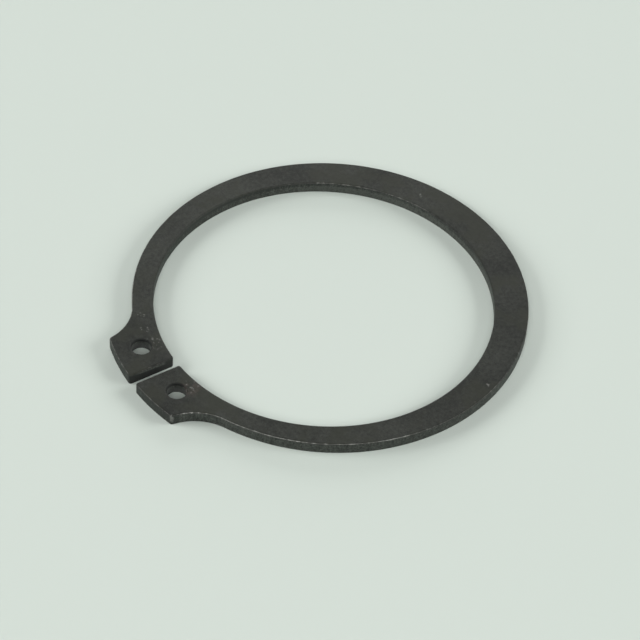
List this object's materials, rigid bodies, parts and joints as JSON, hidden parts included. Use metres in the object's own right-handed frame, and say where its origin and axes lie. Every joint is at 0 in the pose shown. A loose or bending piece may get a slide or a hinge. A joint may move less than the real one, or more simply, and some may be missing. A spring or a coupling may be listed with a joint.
{
  "type": "external retaining ring",
  "caption": "Flat open ring of black spring steel, tapering towards outward lugs with plier holes, that snaps into a groove on a shaft to hold parts in place.",
  "frame": {"origin": "centre of the round inner edge, on the underside of the strip", "axes": "+Z along the ring's axis towards the face with the rolled edge, -Y from the centre to the middle of the gap, +X towards one lug"},
  "size_m": [0.0648, 0.0697, 0.002],
  "materials": {
    "black_steel": "matt black phosphate, worn bright in places along the edges"
  },
  "bodies": {
    "root": {"retaining_ring": "black_steel"}
  },
  "joints": []
}
